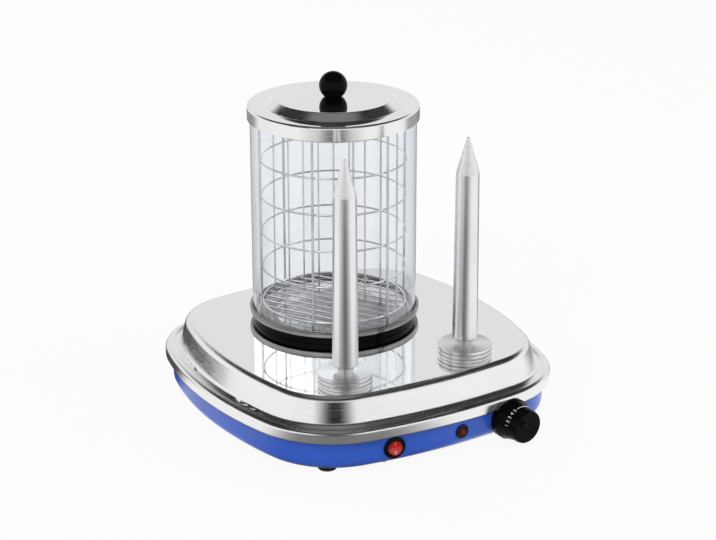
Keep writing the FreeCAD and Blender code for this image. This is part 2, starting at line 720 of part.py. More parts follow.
def make_heater():
    top = heater_top()
    low = top - PLATE_THICKNESS
    groove = Part.makeTorus(ELEMENT_RADIUS, ELEMENT_TUBE + ELEMENT_CLEARANCE, V(0, 0, low), UP)
    bore = cylinder(STUD_RADIUS + HOLE_CLEARANCE, low, top)
    NODES["heating_plate"] = on_axis(drill(cylinder(PLATE_RADIUS, low, top), [groove, bore]))

    gap = math.radians(ELEMENT_GAP_ANGLE / 2)
    ring = Part.makeTorus(ELEMENT_RADIUS, ELEMENT_TUBE, V(0, 0, 0), UP, -180, 180,
                          360 - ELEMENT_GAP_ANGLE)
    ring.rotate(V(0, 0, 0), UP, ELEMENT_GAP_ANGLE / 2 - 90)
    ring.translate(UP * low)
    parts = [ring]
    for side in (-1, 1):
        x = side * ELEMENT_RADIUS * math.sin(gap)
        y = -ELEMENT_RADIUS * math.cos(gap)
        parts.append(Part.makeSphere(ELEMENT_TUBE, V(x, y, low)))
        parts.append(cylinder(ELEMENT_TUBE, low - ELEMENT_LEG, low, x, y))
    NODES["ring_element"] = on_axis(fused(parts))

    bar_top = low - ELEMENT_TUBE - ELEMENT_CLEARANCE
    ear = DECK_OPENING + CLAMP_EAR
    path = [(-ear, DECK_TOP - DECK_SHEET), (-DECK_OPENING, DECK_TOP - DECK_SHEET),
            (-PLATE_RADIUS, bar_top), (PLATE_RADIUS, bar_top),
            (DECK_OPENING, DECK_TOP - DECK_SHEET), (ear, DECK_TOP - DECK_SHEET)]
    bends = [0] + [CLAMP_BEND] * 4 + [0]
    strip = Part.Face(sheet_loop(path, bends, CLAMP_SHEET))
    strip.translate(V(0, -CLAMP_WIDTH / 2, 0))
    bar = strip.extrude(V(0, CLAMP_WIDTH, 0))
    hole = cylinder(STUD_RADIUS + HOLE_CLEARANCE, bar_top - CLAMP_SHEET, bar_top)
    NODES["heater_clamp"] = on_axis(bar.cut(hole))
    nut_top = bar_top - CLAMP_SHEET
    NODES["heater_nut"] = on_axis(
        nut(NUT_FLATS, STUD_RADIUS + HOLE_CLEARANCE, nut_top - NUT_HEIGHT, nut_top)
    )

    cutout = cylinder(CUTOUT_RADIUS, low - CUTOUT_HEIGHT, low, 0, CUTOUT_OFFSET)
    blades = []
    for side in (-1, 1):
        size = V(BLADE_THICKNESS, BLADE_WIDTH, BLADE_LENGTH)
        blades.append(block(size, side * CUTOUT_RADIUS / 2, CUTOUT_OFFSET,
                            low - CUTOUT_HEIGHT - BLADE_LENGTH))
    NODES["thermal_cutout"] = on_axis(cutout)
    NODES["thermal_cutout_terminals"] = on_axis(group(blades))


def make_heat_shield():
    top = DECK_TOP - DECK_SHEET - SHIELD_DROP
    shield = cylinder(SHIELD_RADIUS, top - SHIELD_SHEET, top)
    standoffs = []
    for i in range(STANDOFF_COUNT):
        angle = math.pi / 2 + i * 2 * math.pi / STANDOFF_COUNT
        x = STANDOFF_PLACE * math.cos(angle)
        y = STANDOFF_PLACE * math.sin(angle)
        ear = cylinder(SHIELD_EAR_RADIUS, top - SHIELD_SHEET, top, x, y)
        web = Part.makeBox(STANDOFF_PLACE - SHIELD_RADIUS / 2, 2 * SHIELD_EAR_RADIUS, SHIELD_SHEET,
                           V(SHIELD_RADIUS / 2, -SHIELD_EAR_RADIUS, top - SHIELD_SHEET))
        web.rotate(V(0, 0, 0), UP, math.degrees(angle))
        shield = shield.fuse(ear).fuse(web)
        standoffs.append(cylinder(STANDOFF_RADIUS, top, DECK_TOP - DECK_SHEET, x, y))
    NODES["heat_shield"] = on_axis(shield.removeSplitter())
    NODES["heat_shield_standoffs"] = on_axis(group(standoffs))


def glass_top():
    return DECK_TOP + GLASS_SEAT + GLASS_HEIGHT


def make_glass_and_lid():
    low = DECK_TOP + GLASS_SEAT
    top = glass_top()
    inner = GLASS_RADIUS - GLASS_WALL
    section = [(inner, low), (GLASS_RADIUS, low), (GLASS_RADIUS, top), (inner, top)]
    NODES["glass_cylinder"] = on_axis(turned(section, [GLASS_EDGE] * 4))

    rim = top + LID_SHEET
    crown = rim + LID_RISE
    bore = LID_SCREW_RADIUS + HOLE_CLEARANCE
    path = [
        (bore, crown),
        (LID_CROWN_RADIUS, crown),
        (LID_SLOPE_RADIUS, rim),
        (LID_RADIUS, rim),
        (LID_RADIUS, rim - LID_SKIRT),
    ]
    bends = [0, LID_CROWN_BEND, LID_CROWN_BEND, LID_EDGE_BEND, 0]
    NODES["lid"] = on_axis(turned_sheet(path, bends, LID_SHEET))

    centre = crown + math.sqrt(LID_KNOB_RADIUS ** 2 - LID_KNOB_FLAT ** 2)
    ball = Part.makeSphere(LID_KNOB_RADIUS, V(0, 0, centre))
    below = cylinder(LID_KNOB_RADIUS, centre - LID_KNOB_RADIUS, crown)
    socket = cylinder(bore, crown, crown + LID_SCREW_DEPTH + BORE_SPARE)
    NODES["lid_knob"] = on_axis(ball.cut(below).cut(socket))
    head_low = crown - LID_SHEET - LID_SCREW_HEAD
    NODES["lid_knob_screw"] = on_axis(
        screw(LID_SCREW_RADIUS, LID_SCREW_HEAD_RADIUS, head_low, LID_SCREW_HEAD,
              LID_SHEET + LID_SCREW_DEPTH)
    )


# Wire basket
def ring_height(i):
    return DECK_TOP + RING_LOW + i * RING_PITCH


def grid_wire(length, z, offset, across=False):
    """A straight horizontal wire through the basket, along the divider or across it."""
    wire = Part.makeCylinder(GRID_WIRE, length, V(-length / 2, offset, z), V(1, 0, 0))
    wire.rotate(V(0, 0, 0), UP, DIVIDER_ANGLE + (90 if across else 0))
    return wire


def make_basket():
    for i in range(RING_COUNT):
        ring = Part.makeTorus(BASKET_RADIUS, RING_WIRE, V(0, 0, ring_height(i)), UP)
        NODES[f"basket_ring_{i + 1}"] = on_axis(ring)

    top = ring_height(RING_COUNT - 1)
    reach = BASKET_RADIUS + RING_WIRE + UPRIGHT_WIRE + WELD_GAP
    foot = slope_height(reach + UPRIGHT_WIRE) + BASKET_REST_GAP
    uprights = []
    for i in range(UPRIGHT_COUNT):
        angle = UPRIGHT_START + i * 2 * math.pi / UPRIGHT_COUNT
        x = reach * math.cos(angle)
        y = reach * math.sin(angle)
        uprights.append(cylinder(UPRIGHT_WIRE, foot, top + UPRIGHT_OVER, x, y))
    NODES["basket_uprights"] = on_axis(group(uprights))

    inside = BASKET_RADIUS - RING_WIRE - WELD_GAP
    outermost = inside - GRID_WIRE
    low = ring_height(0) + GRID_WIRE
    turn = math.radians(DIVIDER_ANGLE)
    wires = []
    for i in range(DIVIDER_COUNT):
        place = outermost * (2 * i / (DIVIDER_COUNT - 1) - 1)
        x = place * math.cos(turn)
        y = place * math.sin(turn)
        wires.append(cylinder(GRID_WIRE, low, top + UPRIGHT_OVER, x, y))
    side = 2 * GRID_WIRE + WELD_GAP
    stretcher = 2 * (math.sqrt(inside ** 2 - side ** 2) - STRETCHER_GAP)
    for z in (low + 2 * GRID_WIRE, top - 2 * RING_WIRE):
        wires.append(grid_wire(stretcher, z, side))
    NODES["basket_divider"] = on_axis(group(wires))

    floor_z = ring_height(0) - RING_WIRE - GRID_WIRE - WELD_GAP
    wires = []
    for i in range(FLOOR_COUNT):
        offset = (i - (FLOOR_COUNT - 1) / 2) * FLOOR_PITCH
        length = 2 * math.sqrt(BASKET_RADIUS ** 2 - offset ** 2)
        wires.append(grid_wire(length, floor_z, offset))
    cross_z = floor_z - 2 * GRID_WIRE - WELD_GAP
    wires.append(grid_wire(2 * BASKET_RADIUS, cross_z, 0, across=True))
    NODES["basket_floor"] = on_axis(group(wires))


# Bread spikes
def make_spikes():
    pitch = SPIKE_DISC + SPIKE_GROOVE
    base_top = DECK_TOP + SPIKE_DISC_COUNT * SPIKE_DISC + (SPIKE_DISC_COUNT - 1) * SPIKE_GROOVE
    stud = SPIKE_STUD_RADIUS
    bore = stud + HOLE_CLEARANCE
    disc = turned(
        [(bore, DECK_TOP), (SPIKE_BASE_RADIUS, DECK_TOP),
         (SPIKE_BASE_RADIUS, DECK_TOP + SPIKE_DISC), (bore, DECK_TOP + SPIKE_DISC)],
        [0, FINE_EDGE, FINE_EDGE, 0],
    )
    core = tube(SPIKE_BASE_RADIUS - SPIKE_GROOVE_DEPTH, bore, DECK_TOP, base_top)
    discs = [moved(disc, 0, 0, i * pitch) for i in range(SPIKE_DISC_COUNT)]
    base = fused([core] + discs)

    rod_low = base_top + SPIKE_NECK
    shoulder = DECK_TOP + SPIKE_TIP - SPIKE_CONE
    foot = DECK_TOP - SPIKE_STUD_LENGTH
    spike = turned(
        [(0, foot), (stud, foot), (stud, base_top), (SPIKE_NECK_RADIUS, base_top),
         (SPIKE_NECK_RADIUS, rod_low), (SPIKE_LOW_RADIUS - SPIKE_CHAMFER, rod_low),
         (SPIKE_LOW_RADIUS, rod_low + SPIKE_CHAMFER), (SPIKE_SHOULDER_RADIUS, shoulder),
         (SPIKE_TIP_RADIUS, DECK_TOP + SPIKE_TIP), (0, DECK_TOP + SPIKE_TIP)],
        [0, SOFT_EDGE, 0, 0, 0, 0, 0, SPIKE_SHOULDER_BEND, SOFT_EDGE, 0],
    )
    heater_end = foot + CARTRIDGE_LENGTH
    bore_top = heater_end + BORE_SPARE
    spike = spike.cut(cylinder(CARTRIDGE_RADIUS + ELEMENT_CLEARANCE, foot, bore_top))
    heater = cylinder(CARTRIDGE_RADIUS, foot - CARTRIDGE_TAIL, heater_end)

    under = DECK_TOP - DECK_SHEET
    washer = tube(SPIKE_WASHER_RADIUS, bore, under - SPIKE_WASHER, under)
    nut_top = under - SPIKE_WASHER
    locknut = nut(SPIKE_NUT_FLATS, bore, nut_top - SPIKE_NUT, nut_top)
    for side, x in SPIKES.items():
        NODES[f"{side}_spike_base"] = moved(base, x, SPIKE_Y)
        NODES[f"{side}_spike"] = moved(spike, x, SPIKE_Y)
        NODES[f"{side}_spike_heater"] = moved(heater, x, SPIKE_Y)
    NODES["spike_washers"] = group([moved(washer, x, SPIKE_Y) for x in SPIKES.values()])
    NODES["spike_nuts"] = group([moved(locknut, x, SPIKE_Y) for x in SPIKES.values()])


# Controls, each in the frame of its place on the wall
def blades(places, top):
    size = V(BLADE_WIDTH, BLADE_THICKNESS, BLADE_LENGTH)
    return group([block(size, x, y, top - BLADE_LENGTH) for x, y in places])


def make_switch():
    bore = SWITCH_BORE_RADIUS
    housing = turned(
        [(0, -SWITCH_DEPTH), (SWITCH_BODY_RADIUS, -SWITCH_DEPTH), (SWITCH_BODY_RADIUS, 0),
         (SWITCH_BEZEL_RADIUS, 0), (SWITCH_BEZEL_RADIUS, SWITCH_BEZEL), (bore, SWITCH_BEZEL),
         (bore, -SWITCH_DEPTH + SWITCH_FLOOR), (0, -SWITCH_DEPTH + SWITCH_FLOOR)],
        [0, FINE_EDGE, 0, 0, ROUND_EDGE, FINE_EDGE, 0, 0],
    )
    hole_end = PIVOT_PIN_END + PIVOT_CLEARANCE
    hole = Part.makeCylinder(PIVOT_PIN_RADIUS + PIVOT_CLEARANCE, 2 * hole_end,
                             V(-hole_end, 0, ROCKER_PIVOT), V(1, 0, 0))
    NODES["switch_housing"] = placed(housing.cut(hole), SWITCH_FRAME)

    # Two face halves lean up from the middle, so one lies level when the switch is thrown
    ball = Part.makeSphere(ROCKER_RADIUS, V(0, 0, ROCKER_PIVOT))
    tall = 2 * ROCKER_RADIUS
    low = ROCKER_PIVOT - PIVOT_PIN_RADIUS - ROCKER_KEEL
    keep = Part.makeBox(2 * tall, 2 * tall, tall, V(-tall, -tall, low))
    body = ball.common(keep)
    for side in (-1, 1):
        half = Part.makeBox(2 * tall, tall, tall, V(-tall, 0 if side > 0 else -tall, 0))
        half.rotate(V(0, 0, 0), V(1, 0, 0), side * ROCKER_ANGLE)
        half.translate(V(0, 0, ROCKER_FACE))
        body = body.cut(half)
    pin = Part.makeCylinder(PIVOT_PIN_RADIUS, 2 * PIVOT_PIN_END,
                            V(-PIVOT_PIN_END, 0, ROCKER_PIVOT), V(1, 0, 0))
    rocker = fused([body, pin])
    rocker.rotate(V(0, 0, ROCKER_PIVOT), V(1, 0, 0), -ROCKER_ANGLE)
    NODES["switch_rocker"] = placed(rocker, SWITCH_FRAME)
    terminals = blades([(0, i * SWITCH_BLADE_PITCH) for i in (-1, 0, 1)], -SWITCH_DEPTH)
    NODES["switch_terminals"] = placed(terminals, SWITCH_FRAME)


def make_lamp():
    lens = LAMP_LENS_RADIUS
    housing = turned(
        [(0, -LAMP_DEPTH), (LAMP_BODY_RADIUS, -LAMP_DEPTH), (LAMP_BODY_RADIUS, 0),
         (LAMP_BEZEL_RADIUS, 0), (LAMP_BEZEL_RADIUS, LAMP_BEZEL), (lens, LAMP_BEZEL),
         (lens, -LAMP_LENS_DEPTH), (0, -LAMP_LENS_DEPTH)],
        [0, FINE_EDGE, 0, 0, SOFT_EDGE, 0, 0, 0],
    )
    NODES["lamp_housing"] = placed(housing, LAMP_FRAME)
    fit = lens - SHAFT_CLEARANCE
    dome = turned([(0, -LAMP_LENS_DEPTH), (fit, -LAMP_LENS_DEPTH), (fit, LAMP_LENS_DOME),
                   (0, LAMP_LENS_DOME)], [0, 0, LAMP_LENS_EDGE, 0])
    NODES["lamp_lens"] = placed(dome, LAMP_FRAME)
    behind = -SHELL_SHEET - SEAT_GAP - LAMP_CLIP_GAP
    clip = tube(LAMP_CLIP_RADIUS, LAMP_BODY_RADIUS + SHAFT_CLEARANCE, behind - LAMP_CLIP, behind)
    NODES["lamp_clip"] = placed(clip, LAMP_FRAME)


def d_shaft(radius, flat, low, high):
    """A round bar with one flat on its +X side."""
    bar = cylinder(radius, low, high)
    return bar.cut(Part.makeBox(radius, 4 * radius, high - low, V(flat, -2 * radius, low)))


def make_thermostat():
    collar_top = -SHELL_SHEET - THERMO_GAP
    front = collar_top - THERMO_COLLAR
    rear = front - THERMO_DEPTH
    body = block(V(THERMO_WIDTH, THERMO_HEIGHT, THERMO_DEPTH), 0, 0, rear)
    collar = cylinder(THERMO_COLLAR_RADIUS, front, collar_top)
    bush = cylinder(BUSH_RADIUS, front, BUSH_TOP)
    bore_low = front - SHAFT_INSIDE - BORE_SPARE
    bore = cylinder(SHAFT_RADIUS + SHAFT_CLEARANCE, bore_low, BUSH_TOP)
    NODES["thermostat_body"] = placed(fused([body, collar, bush]).cut(bore), THERMO_FRAME)
    places = [(-THERMO_BLADE_PLACE, 0), (THERMO_BLADE_PLACE, 0)]
    NODES["thermostat_terminals"] = placed(blades(places, rear), THERMO_FRAME)

    dial = turned(
        [(BUSH_RADIUS + PANEL_CLEARANCE, THERMO_GAP), (DIAL_RADIUS, THERMO_GAP),
         (DIAL_RADIUS, DIAL_TOP), (DIAL_WELL_RADIUS, DIAL_TOP),
         (DIAL_WELL_RADIUS, DIAL_WEB_TOP), (BUSH_RADIUS + PANEL_CLEARANCE, DIAL_WEB_TOP)],
        [0, 0, FINE_EDGE, 0, 0, 0],
    )
    # The dial plate is cut flat below the deck's rim, which hangs over it
    flat = THERMO_FRAME.Base + UP * (RIM_EDGE - DIAL_RIM_GAP - THERMO_FRAME.Base.z)
    over = moved(block(V(1, 1, 1) * (4 * DIAL_RADIUS), 0, 0, 0), flat.x, flat.y, flat.z)
    NODES["thermostat_dial_plate"] = placed(dial, THERMO_FRAME).cut(over)
    nut_top = DIAL_WEB_TOP + THERMO_NUT
    holder = nut(THERMO_NUT_FLATS, BUSH_RADIUS + SHAFT_CLEARANCE, DIAL_WEB_TOP, nut_top)
    NODES["thermostat_nut"] = placed(holder, THERMO_FRAME)

    shaft = cylinder(SHAFT_RADIUS, front - SHAFT_INSIDE, BUSH_TOP)
    shaft = fused([shaft, d_shaft(SHAFT_RADIUS, SHAFT_FLAT, BUSH_TOP, SHAFT_TOP)])
    NODES["thermostat_shaft"] = placed(shaft, THERMO_FRAME)
    NODES["thermostat_knob"] = placed(knob_shape(), THERMO_FRAME)


def knob_shape():
    low = DIAL_TOP + KNOB_GAP
    skirt = low + KNOB_FLANGE
    knob = turned(
        [(0, low), (KNOB_FLANGE_RADIUS, low), (KNOB_FLANGE_RADIUS, skirt),
         (KNOB_REAR_RADIUS, skirt), (KNOB_FRONT_RADIUS, KNOB_SHOULDER),
         (KNOB_CAP_REAR_RADIUS, KNOB_SHOULDER), (KNOB_CAP_RADIUS, KNOB_TOP), (0, KNOB_TOP)],
        [0, KNOB_FLANGE / 3, KNOB_FLANGE / 3, 0, 0, FINE_EDGE, ROUND_EDGE, 0],
    )
    # The grip bar lies along local X; its ends and top edges slope
    reach = KNOB_CAP_RADIUS - KNOB_GRIP_INSET
    wide = KNOB_GRIP_WIDTH / 2
    narrow = KNOB_GRIP_TOP_WIDTH / 2
    foot = KNOB_TOP - KNOB_GRIP_SUNK
    top = KNOB_TOP + KNOB_GRIP
    section = [V(-reach, -wide, foot), V(-reach, wide, foot), V(-reach, narrow, top),
               V(-reach, -narrow, top), V(-reach, -wide, foot)]
    grip = Part.Face(Part.makePolygon(section)).extrude(V(2 * reach, 0, 0))
    round_end = turned([(0, foot), (reach, foot), (reach - KNOB_GRIP_SLOPE, top), (0, top)])
    grip = grip.common(round_end)
    grip.rotate(V(0, 0, 0), UP, KNOB_GRIP_ANGLE)
    bore = SHAFT_RADIUS + SHAFT_CLEARANCE
    socket = d_shaft(bore, SHAFT_FLAT + SHAFT_CLEARANCE, low, SHAFT_TOP + BORE_SPARE)
    return fused([knob, grip]).cut(socket)


# Cord inlet and terminals
def make_electrics():
    flange = turned(
        [(GLAND_BORE, -GLAND_TAIL), (GLAND_NECK_RADIUS, -GLAND_TAIL), (GLAND_NECK_RADIUS, 0),
         (GLAND_FLANGE_RADIUS, 0), (GLAND_FLANGE_RADIUS, GLAND_FLANGE), (GLAND_BORE, GLAND_FLANGE)],
        [0, FINE_EDGE, 0, 0, ROUND_EDGE, 0],
    )
    NODES["cord_gland"] = placed(flange, GLAND_FRAME)
    behind = -SHELL_SHEET - SEAT_GAP
    ring = nut(GLAND_NUT_FLATS, GLAND_NECK_RADIUS + SHAFT_CLEARANCE, behind - GLAND_NUT, behind)
    NODES["cord_gland_nut"] = placed(ring, GLAND_FRAME)

    body = block(BLOCK_SIZE, BLOCK_PLACE.x, BLOCK_PLACE.y, SHELL_BOTTOM)
    pitch = BLOCK_SIZE.x / BLOCK_WAYS
    top = SHELL_BOTTOM + BLOCK_SIZE.z
    wells = []
    screws = []
    for i in range(BLOCK_WAYS):
        for side in (-1, 1):
            x = BLOCK_PLACE.x + (i - (BLOCK_WAYS - 1) / 2) * pitch
            y = BLOCK_PLACE.y + side * BLOCK_SIZE.y / 4
            floor = top - BLOCK_WELL
            wells.append(cylinder(BLOCK_SCREW_RADIUS + HOLE_CLEARANCE, floor, top, x, y))
            screws.append(cylinder(BLOCK_SCREW_RADIUS, floor, top - BLOCK_SCREW_SUNK, x, y))
    NODES["terminal_block"] = drill(body, wells)
    NODES["terminal_screws"] = group(screws)
    low = SHELL_BOTTOM - PLATE_SHEET - SCREW_HEAD
    x, y = EARTH_PLACE.x, EARTH_PLACE.y
    stud = screw(SCREW_RADIUS, SCREW_HEAD_RADIUS, low, SCREW_HEAD, EARTH_HEIGHT, x, y)
    earth_nut = nut(EARTH_NUT_FLATS, SCREW_RADIUS + HOLE_CLEARANCE, SHELL_BOTTOM,
                    SHELL_BOTTOM + EARTH_NUT, x, y)
    NODES["earth_terminal"] = group([stud, earth_nut])


def build():
    make_deck_cover()
    make_base_shell()
    make_bottom_plate()
    make_feet()
    make_posts()
    make_seat_ring()
    make_steam_dish()
    make_heater()
    make_heat_shield()
    make_glass_and_lid()
    make_basket()
    make_spikes()
    make_switch()
    make_lamp()
    make_thermostat()
    make_electrics()


def frame_shift():
    """How far to move the model along Y so that the box's middle lies on the origin."""
    box = Part.makeCompound(list(NODES.values())).BoundBox
    return -(box.YMin + box.YMax) / 2


build()
SHIFT = frame_shift()
for name, shape in NODES.items():
    moved(shape, 0, SHIFT).exportStep(f"parts/{name}.step")
    if not shape.isValid():
        print("not valid:", name)
print(len(NODES), "nodes, moved along Y by", round(SHIFT, 3))
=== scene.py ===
import json
import math

import bmesh
import bpy
from mathutils import Matrix, Vector
from mathutils.bvhtree import BVHTree


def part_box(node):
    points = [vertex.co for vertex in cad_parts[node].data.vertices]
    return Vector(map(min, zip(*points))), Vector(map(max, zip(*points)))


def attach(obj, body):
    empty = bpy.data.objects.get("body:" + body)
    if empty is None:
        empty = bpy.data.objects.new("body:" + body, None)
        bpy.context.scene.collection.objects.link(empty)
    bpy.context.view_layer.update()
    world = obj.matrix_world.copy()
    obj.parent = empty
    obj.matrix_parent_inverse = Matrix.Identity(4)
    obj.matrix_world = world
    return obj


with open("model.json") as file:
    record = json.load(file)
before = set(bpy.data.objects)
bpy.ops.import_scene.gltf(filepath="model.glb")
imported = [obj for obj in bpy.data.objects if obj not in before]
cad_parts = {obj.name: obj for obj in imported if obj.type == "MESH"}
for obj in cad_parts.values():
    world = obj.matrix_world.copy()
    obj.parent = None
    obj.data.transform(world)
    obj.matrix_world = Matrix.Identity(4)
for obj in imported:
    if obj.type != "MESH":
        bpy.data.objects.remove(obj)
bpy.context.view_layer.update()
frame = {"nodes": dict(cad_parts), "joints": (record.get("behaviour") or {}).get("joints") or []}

NODES = frame["nodes"]
JOINTS = {joint["name"]: joint for joint in frame["joints"]}
MM = 0.001

# Camera: solved from the photograph, in metres, degrees and pixels
CAMERA_AZIMUTH = math.radians(-30.92)
CAMERA_ELEVATION = math.radians(20.34)
CAMERA_DISTANCE = 2.36136
CAMERA_TARGET_X = 0.10361
TARGET_BEHIND_LID = 0.11317
CAMERA_TARGET_Z = 0.076
FOCAL_PIXELS = 2113.98
IMAGE_WIDTH = 716.0
IMAGE_HEIGHT = 540.0
CENTRE_X = 363.6
CENTRE_Y = 264.1
SENSOR = 36.0

# Studio: a glowing floor with four dark cloths, panels all round that end in a dark height, a dim
# patch overhead, and a low black card between the part and the camera
FLOOR_RADIUS = 14.0
FLOOR_SEGMENTS = 96
FLOOR_COLOUR = 0.82
FLOOR_GLOW = 0.92
WORLD_FILL = 0.62
PANEL_TOP_EDGES = (0.42, 0.60)
DARK_LEVEL = 0.03
OVERHEAD_EDGES = (0.88, 0.97)
OVERHEAD_LEVEL = 0.18
BACKDROP_EDGES = (-1.0, -0.3)
BACKDROP_LEVEL = 0.84
FRONT_FLAG = {"azimuth": math.radians(-33), "edges": (0.66, 0.95),
              "reach": (0.75, 1.1), "level": 0.15}
SIDE_FLAG = {"azimuth": math.radians(-150), "edges": (0.883, 0.966),
             "reach": (0.62, 0.85), "level": 0.02}
BACK_FLAG = {"azimuth": math.radians(165), "edges": (0.60, 0.86),
             "reach": (1.4, 2.0), "level": 0.25}
RIGHT_FLAG = {"azimuth": math.radians(105), "edges": (0.86, 0.97),
              "reach": (1.4, 2.0), "level": 0.3}
CARD_AZIMUTH = math.radians(-31)
CARD_AWAY = 0.52
CARD_HALF_WIDTH = 0.25
CARD_CORE = 0.03
CARD_HEIGHT = 0.27
CARD_TOP_EDGES = (0.15, 0.27)
CARD_LIFT = 0.001
LAMP_AIM = (0, 0, 0.12)


def centre(node):
    low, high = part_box(node)
    return (low + high) / 2


# Shader helpers
class Tree:
    """Short calls for building one node tree."""

    def __init__(self, owner):
        owner.use_nodes = True
        self.tree = owner.node_tree
        self.tree.nodes.clear()

    def add(self, kind, links=None, **settings):
        node = self.tree.nodes.new(kind)
        for name, value in settings.items():
            setattr(node, name, value)
        for socket, value in (links or {}).items():
            self.feed(node.inputs[socket], value)
        return node

    def feed(self, socket, value):
        if isinstance(value, bpy.types.NodeSocket):
            self.tree.links.new(value, socket)
        else:
            socket.default_value = value

    def maths(self, operation, a, b=0.0):
        return self.add("ShaderNodeMath", {0: a, 1: b}, operation=operation).outputs[0]

    def vector(self, operation, a, b=(0, 0, 0)):
        return self.add("ShaderNodeVectorMath", {0: a, 1: b}, operation=operation)

    def smooth(self, value, low, high, to_low, to_high):
        limits = {"Value": value, "From Min": low, "From Max": high, "To Min": to_low, "To Max": to_high}
        return self.add("ShaderNodeMapRange", limits, interpolation_type="SMOOTHSTEP").outputs[0]

    def mix(self, factor, a, b):
        node = self.add("ShaderNodeMix", data_type="RGBA")
        self.feed(node.inputs[0], factor)
        self.feed(node.inputs[6], a)
        self.feed(node.inputs[7], b)
        return node.outputs[2]

    def place(self):
        return self.add("ShaderNodeTexCoord").outputs["Object"]

    def noise(self, scale, stretch=(1, 1, 1), detail=3.0):
        spread = self.vector("MULTIPLY", self.place(), stretch).outputs[0]
        links = {"Vector": spread, "Scale": scale, "Detail": detail}
        return self.add("ShaderNodeTexNoise", links).outputs[0]

    def brush(self, shader, amount):
        """Fine lines run round the upright axis, so reflections spread up and down."""
        around = self.add("ShaderNodeTangent", direction_type="RADIAL", axis="Z").outputs[0]
        self.feed(shader.inputs["Tangent"], around)
        shader.inputs["Anisotropic"].default_value = amount
        shader.inputs["Anisotropic Rotation"].default_value = 0.25

    def studio_rays(self):
        """Rays that should meet plain white, and those together with the mirror reflections."""
        path = self.add("ShaderNodeLightPath")
        plain = self.maths("MAXIMUM", path.outputs["Is Camera Ray"], path.outputs["Is Transmission Ray"])
        return plain, self.maths("MAXIMUM", plain, path.outputs["Is Glossy Ray"])


# Looks shared by most materials
# Painted shade on the switch rocker and lamp lens begins this share of the way from a face's middle to its
# rim
RIM_SHADE_START = 0.3
CLOUD_SCALE = 18.0
CLOUD_DETAIL = 2.0
CLOUD_EDGES = (0.35, 0.65)
GRAIN_EDGES = (0.25, 0.75)
TURNED_SPACING = 0.9
TURNED_RELIEF = 0.4


def grey(level):
    return (level, level, level, 1.0)


def paint_rim_shade(tree, colour, node, edge):
    """Painted shade: the colour at the middle of a round face in the front wall, darkening smoothly to a
    darker edge colour at its rim.
    """
    low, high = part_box(node)
    offset = tree.vector("SUBTRACT", tree.place(), tuple((low + high) / 2)).outputs[0]
    away = tree.vector("LENGTH", tree.vector("MULTIPLY", offset, (1, 0, 1)).outputs[0]).outputs["Value"]
    radius = (high.x - low.x) / 2
    return tree.mix(tree.smooth(away, RIM_SHADE_START * radius, radius, 0, 1), colour, edge + (1,))


def surface(name, dark, light, rough, scale, stretch=(1, 1, 1), bump=0.2, depth=0.05, height=None,
            brushed=0.0, rim_shade=None, **fixed):
    """A material whose colour, gloss and relief vary with the grain given by scale and stretch."""
    made = bpy.data.materials.new(name)
    tree = Tree(made)
    grain = tree.noise(scale, stretch)
    cloud = tree.noise(CLOUD_SCALE, (1, 1, 1), CLOUD_DETAIL)
    colour = tree.mix(tree.smooth(cloud, *CLOUD_EDGES, 0, 1), dark + (1,), light + (1,))
    # Painted shade: the colour darkens from a round face's middle to the given darker colour at its rim
    if rim_shade:
        colour = paint_rim_shade(tree, colour, *rim_shade)
    gloss = tree.smooth(grain, *GRAIN_EDGES, *rough)
    relief = height(tree, grain) if height else grain
    links = {"Height": relief, "Strength": bump, "Distance": depth * MM}
    normal = tree.add("ShaderNodeBump", links).outputs[0]
    inputs = {"Base Color": colour, "Roughness": gloss, "Normal": normal}
    shader = tree.add("ShaderNodeBsdfPrincipled", inputs)
    if brushed:
        tree.brush(shader, brushed)
    for socket, value in fixed.items():
        shader.inputs[socket.replace("_", " ")].default_value = value
    tree.add("ShaderNodeOutputMaterial", {"Surface": shader.outputs[0]})
    return made


def rings_about(x, y, spacing):
    """Turned lines: concentric about an upright axis at x, y."""

    def height(tree, grain):
        offset = tree.vector("SUBTRACT", tree.place(), (x, y, 0)).outputs[0]
        flat = tree.vector("MULTIPLY", offset, (1, 1, 0))
        radius = tree.vector("LENGTH", flat.outputs[0]).outputs["Value"]
        rise = tree.add("ShaderNodeSeparateXYZ", {0: tree.place()}).outputs[2]
        run = tree.maths("MULTIPLY", tree.maths("ADD", radius, rise), 2 * math.pi / (spacing * MM))
        return tree.maths("ADD", tree.maths("MULTIPLY", tree.maths("SINE", run), TURNED_RELIEF), grain)

    return height


METAL = {"Metallic": 1.0}
PHENOLIC = {"Coat_Weight": 0.02, "Coat_Roughness": 0.06, "IOR": 1.3, "Specular_IOR_Level": 0.1}

# Polished steel: where its slope counts as flat, and the look of its brushed and its polished parts
FLAT_EDGES = (0.985, 0.9995)
LINE_SCALE = 60.0
LINE_STRETCH = (1, 1, 22)
LINE_DETAIL = 4.0
SHEEN_SCALE = 9.0
SHEEN_EDGES = (0.3, 0.7)
BRUSHED_ROUGH = (0.13, 0.24)
POLISHED_ROUGH = (0.03, 0.055)
BRUSHED_BUMP = 0.10
POLISHED_BUMP = 0.015
LINE_DEPTH = 0.1 * MM
LINE_PULL = 0.8
STEEL_DARK = (0.84, 0.838, 0.83, 1)
STEEL_LIGHT = (0.90, 0.898, 0.89, 1)


